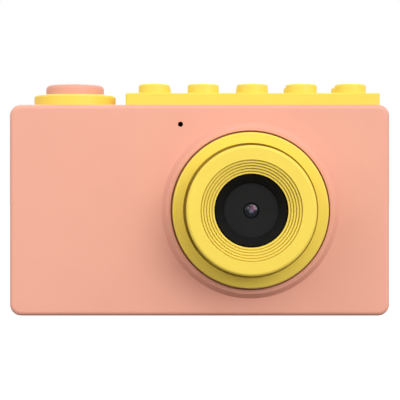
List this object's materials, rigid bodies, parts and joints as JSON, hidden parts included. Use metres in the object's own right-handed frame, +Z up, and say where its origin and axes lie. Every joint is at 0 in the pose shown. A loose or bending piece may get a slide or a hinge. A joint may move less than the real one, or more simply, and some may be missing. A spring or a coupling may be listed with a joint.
{
  "type": "kids digital camera",
  "caption": "Children's compact digital camera with a stepped round lens, a stud rail and a shutter button on top, and a screen and keys at the back.",
  "frame": {"origin": "centre of the bounding box at the base, on the surface the camera stands on", "axes": "+Z up, -Y out of the lens towards the subject, +X to the right as seen from in front of the lens"},
  "size_m": [0.084, 0.0358, 0.0518],
  "materials": {
    "casing_pink": "satin",
    "button_pink": "satin",
    "trim_yellow": "satin",
    "key_yellow": "satin",
    "black_plastic": "satin",
    "dark_grey_plastic": "matte",
    "lens_glass": "polished",
    "inner_glass": "polished",
    "filter_glass": "polished",
    "tinted_window": "polished",
    "sensor_silicon": "polished",
    "chip_black": "matte",
    "component_ceramic": "satin",
    "circuit_board": "satin",
    "polyimide_flex": "satin",
    "screw_steel": "satin",
    "spring_steel": "satin",
    "stamped_steel": "satin",
    "white_plastic": "satin",
    "connector_ivory": "satin",
    "display_glass": "polished",
    "foam_gasket": "matte",
    "clear_acrylic": "polished",
    "silicone": "matte",
    "card_black": "satin",
    "port_rubber": "matte",
    "battery_foil": "satin",
    "red_wire": "satin",
    "white_wire": "satin"
  },
  "bodies": {
    "casing": {"front_cover": "casing_pink", "rear_cover": "casing_pink", "strap_cup": "casing_pink", "lens_outer_ring": "trim_yellow", "lens_front_ring": "trim_yellow", "top_rail": "trim_yellow", "shutter_collar": "trim_yellow", "rear_lens_ring": "trim_yellow", "lens_hood": "black_plastic", "lens_mask": "dark_grey_plastic", "lens_barrel": "black_plastic", "lens_holder": "black_plastic", "rear_camera_module": "black_plastic", "lens_retainer": "dark_grey_plastic", "speaker": "dark_grey_plastic", "microphone": "dark_grey_plastic", "front_lens_element": "lens_glass", "inner_lens_elements": "inner_glass", "infrared_filter": "filter_glass", "rear_lens_window": "tinted_window", "screen_window": "tinted_window", "image_sensor": "sensor_silicon", "processor_chips": "chip_black", "small_components": "component_ceramic", "sensor_board": "circuit_board", "main_board": "circuit_board", "shutter_board": "circuit_board", "sensor_flex": "polyimide_flex", "lcd_flex": "polyimide_flex", "case_screws": "screw_steel", "lens_retainer_screws": "screw_steel", "bracket_screws": "screw_steel", "board_screws": "screw_steel", "port_hinge_pin": "screw_steel", "strap_pin": "screw_steel", "shutter_spring": "spring_steel", "memory_card_socket": "stamped_steel", "usb_receptacle": "stamped_steel", "shutter_switch": "stamped_steel", "shutter_bracket": "white_plastic", "lcd_frame": "white_plastic", "connectors": "connector_ivory", "lcd_panel": "display_glass", "screen_gasket": "foam_gasket", "light_pipe": "clear_acrylic", "silicone_keypad": "silicone", "battery": "battery_foil", "battery_leads": "red_wire", "shutter_leads": "white_wire"},
    "shutter_button": {"shutter_button": "button_pink"},
    "ok_key": {"ok_key": "key_yellow"},
    "up_key": {"up_key": "key_yellow"},
    "down_key": {"down_key": "key_yellow"},
    "left_key": {"left_key": "key_yellow"},
    "right_key": {"right_key": "key_yellow"},
    "power_key": {"power_key": "key_yellow"},
    "mode_key": {"mode_key": "key_yellow"},
    "playback_key": {"playback_key": "key_yellow"},
    "port_cover": {"port_cover": "port_rubber"},
    "memory_card": {"memory_card": "card_black"}
  },
  "joints": [
    {"name": "shutter_press", "type": "slide", "parent": "casing", "child": "shutter_button", "axis": [0, 0, -1], "range_m": [0, 0.0008], "stiffness_N_per_m": 1500, "springref_m": -0.0004, "deforming": ["shutter_spring"]},
    {"name": "ok_key_press", "type": "slide", "parent": "casing", "child": "ok_key", "axis": [0, -1, 0], "range_m": [0, 0.00045], "stiffness_N_per_m": 1800, "springref_m": -0.0003, "deforming": ["silicone_keypad"]},
    {"name": "up_key_press", "type": "slide", "parent": "casing", "child": "up_key", "axis": [0, -1, 0], "range_m": [0, 0.00045], "stiffness_N_per_m": 1800, "springref_m": -0.0003, "deforming": ["silicone_keypad"]},
    {"name": "down_key_press", "type": "slide", "parent": "casing", "child": "down_key", "axis": [0, -1, 0], "range_m": [0, 0.00045], "stiffness_N_per_m": 1800, "springref_m": -0.0003, "deforming": ["silicone_keypad"]},
    {"name": "left_key_press", "type": "slide", "parent": "casing", "child": "left_key", "axis": [0, -1, 0], "range_m": [0, 0.00045], "stiffness_N_per_m": 1800, "springref_m": -0.0003, "deforming": ["silicone_keypad"]},
    {"name": "right_key_press", "type": "slide", "parent": "casing", "child": "right_key", "axis": [0, -1, 0], "range_m": [0, 0.00045], "stiffness_N_per_m": 1800, "springref_m": -0.0003, "deforming": ["silicone_keypad"]},
    {"name": "power_key_press", "type": "slide", "parent": "casing", "child": "power_key", "axis": [0, -1, 0], "range_m": [0, 0.00045], "stiffness_N_per_m": 1800, "springref_m": -0.0003, "deforming": ["silicone_keypad"]},
    {"name": "mode_key_press", "type": "slide", "parent": "casing", "child": "mode_key", "axis": [0, -1, 0], "range_m": [0, 0.00045], "stiffness_N_per_m": 1800, "springref_m": -0.0003, "deforming": ["silicone_keypad"]},
    {"name": "playback_key_press", "type": "slide", "parent": "casing", "child": "playback_key", "axis": [0, -1, 0], "range_m": [0, 0.00045], "stiffness_N_per_m": 1800, "springref_m": -0.0003, "deforming": ["silicone_keypad"]},
    {"name": "port_cover_hinge", "type": "hinge", "parent": "casing", "child": "port_cover", "pos_m": [0.0408, 0.00925, 0.0233], "axis": [0, 1, 0], "range_deg": [0, 95]},
    {"name": "memory_card_slide", "type": "slide", "parent": "casing", "child": "memory_card", "axis": [1, 0, 0], "range_m": [-0.0006, 0.0155]}
  ]
}
